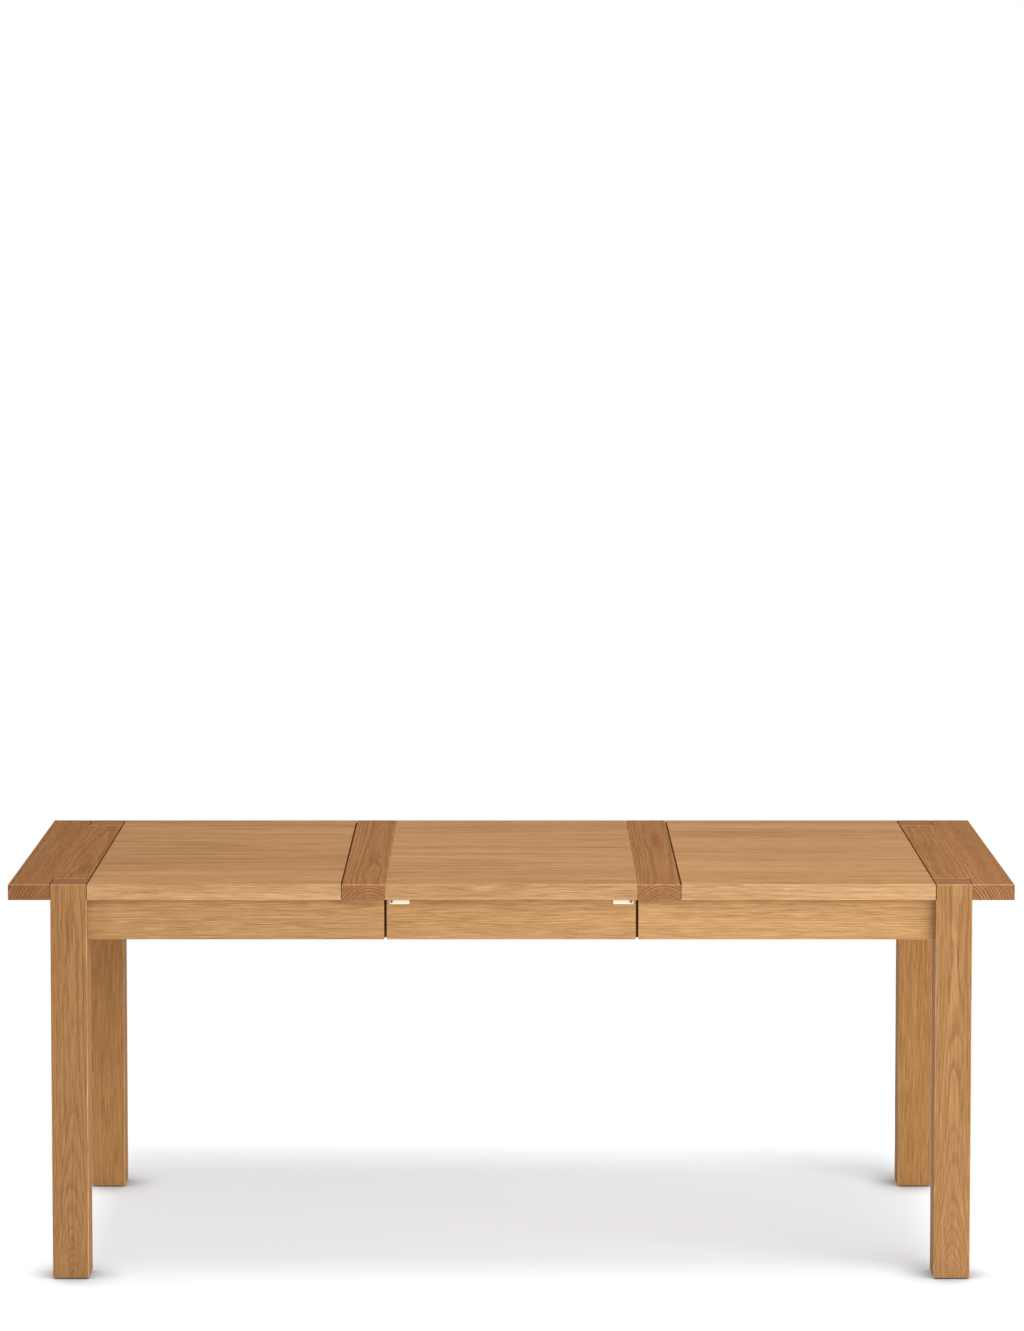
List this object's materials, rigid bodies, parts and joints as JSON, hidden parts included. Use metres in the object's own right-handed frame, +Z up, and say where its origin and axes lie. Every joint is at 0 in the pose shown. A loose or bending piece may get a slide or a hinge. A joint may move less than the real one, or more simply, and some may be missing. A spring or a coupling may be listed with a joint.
{
  "type": "extendable dining table",
  "caption": "Oak dining table with square corner legs set through the top; its halves slide apart on rack-coupled runners to take a lift-out leaf.",
  "frame": {"origin": "on the floor under the middle of the table, with the leaf in place", "axes": "+X along the table's length, +Z up, the front long edge faces -Y"},
  "size_m": [1.935, 0.8, 0.77],
  "materials": {
    "oak_panel": "oiled, staved boards, satin",
    "oak_cross": "oiled, darker cross-grain boards, satin",
    "oak_leg": "oiled, solid posts, satin",
    "oak_apron": "oiled, satin",
    "beech": "planed, waxed",
    "zinc_steel": "zinc plated",
    "nylon_white": "moulded",
    "nylon_cream": "moulded, slightly glossy",
    "nylon_brown": "moulded",
    "screw_dark": "black oxide"
  },
  "bodies": {
    "slide_centre": {"back_centre_bar": "beech", "centre_tie": "beech", "front_centre_bar": "beech", "pinion_axles": "zinc_steel", "slide_stops": "zinc_steel", "tie_screws": "zinc_steel"},
    "left_half": {"left_apron_dowels": "beech", "left_back_apron": "oak_apron", "left_back_leg": "oak_leg", "left_back_rack": "nylon_white", "left_back_slide_bar": "beech", "left_corner_plates": "zinc_steel", "left_cross_board": "oak_cross", "left_end_apron": "oak_apron", "left_end_board": "oak_cross", "left_front_apron": "oak_apron", "left_front_leg": "oak_leg", "left_front_rack": "nylon_white", "left_front_slide_bar": "beech", "left_inner_rail": "beech", "left_leg_bolts": "zinc_steel", "left_leg_glides": "nylon_brown", "left_leg_nuts": "zinc_steel", "left_plate_screws": "zinc_steel", "left_slide_screws": "zinc_steel", "left_top_blocks": "beech", "left_top_panel": "oak_panel"},
    "right_half": {"right_apron_dowels": "beech", "right_back_apron": "oak_apron", "right_back_leg": "oak_leg", "right_back_rack": "nylon_white", "right_back_slide_bar": "beech", "right_corner_plates": "zinc_steel", "right_cross_board": "oak_cross", "right_end_apron": "oak_apron", "right_end_board": "oak_cross", "right_front_apron": "oak_apron", "right_front_leg": "oak_leg", "right_front_rack": "nylon_white", "right_front_slide_bar": "beech", "right_inner_rail": "beech", "right_leg_bolts": "zinc_steel", "right_leg_glides": "nylon_brown", "right_leg_nuts": "zinc_steel", "right_plate_screws": "zinc_steel", "right_slide_screws": "zinc_steel", "right_top_blocks": "beech", "right_top_panel": "oak_panel"},
    "front_pinion": {"front_pinion": "nylon_white"},
    "back_pinion": {"back_pinion": "nylon_white"},
    "leaf": {"latch_screws": "screw_dark", "leaf_back_apron": "oak_apron", "leaf_blocks": "beech", "leaf_front_apron": "oak_apron", "leaf_panel": "oak_panel"},
    "back_left_latch": {"back_left_latch": "nylon_cream"},
    "back_right_latch": {"back_right_latch": "nylon_cream"},
    "front_left_latch": {"front_left_latch": "nylon_cream"},
    "front_right_latch": {"front_right_latch": "nylon_cream"}
  },
  "joints": [
    {"name": "left_extension", "type": "slide", "parent": "slide_centre", "child": "left_half", "axis": [-1, 0, 0], "range_m": [0, 0.025]},
    {"name": "right_extension", "type": "slide", "parent": "slide_centre", "child": "right_half", "axis": [1, 0, 0], "range_m": [0, 0.025]},
    {"name": "front_pinion_turn", "type": "hinge", "parent": "slide_centre", "child": "front_pinion", "pos_m": [0, -0.2, 0.7], "axis": [0, 0, 1], "range_deg": [-90, 0]},
    {"name": "back_pinion_turn", "type": "hinge", "parent": "slide_centre", "child": "back_pinion", "pos_m": [0, 0.2, 0.7], "axis": [0, 0, 1], "range_deg": [-90, 0]},
    {"name": "leaf_lift", "type": "slide", "parent": "slide_centre", "child": "leaf", "axis": [0, 0, 1], "range_m": [0, 0.3]},
    {"name": "front_left_latch_turn", "type": "hinge", "parent": "leaf", "child": "front_left_latch", "pos_m": [-0.231, -0.3823, 0.7345], "axis": [0, 1, 0], "range_deg": [0, 180]},
    {"name": "front_right_latch_turn", "type": "hinge", "parent": "leaf", "child": "front_right_latch", "pos_m": [0.231, -0.3823, 0.7345], "axis": [0, -1, 0], "range_deg": [0, 180]},
    {"name": "back_left_latch_turn", "type": "hinge", "parent": "leaf", "child": "back_left_latch", "pos_m": [-0.231, 0.3823, 0.7345], "axis": [0, 1, 0], "range_deg": [0, 180]},
    {"name": "back_right_latch_turn", "type": "hinge", "parent": "leaf", "child": "back_right_latch", "pos_m": [0.231, 0.3823, 0.7345], "axis": [0, -1, 0], "range_deg": [0, 180]}
  ],
  "couplings": [
    {"joint": "right_extension", "follows": "left_extension", "ratio": 1},
    {"joint": "front_pinion_turn", "follows": "left_extension", "rad_per_m": -62.5},
    {"joint": "back_pinion_turn", "follows": "left_extension", "rad_per_m": -62.5}
  ]
}
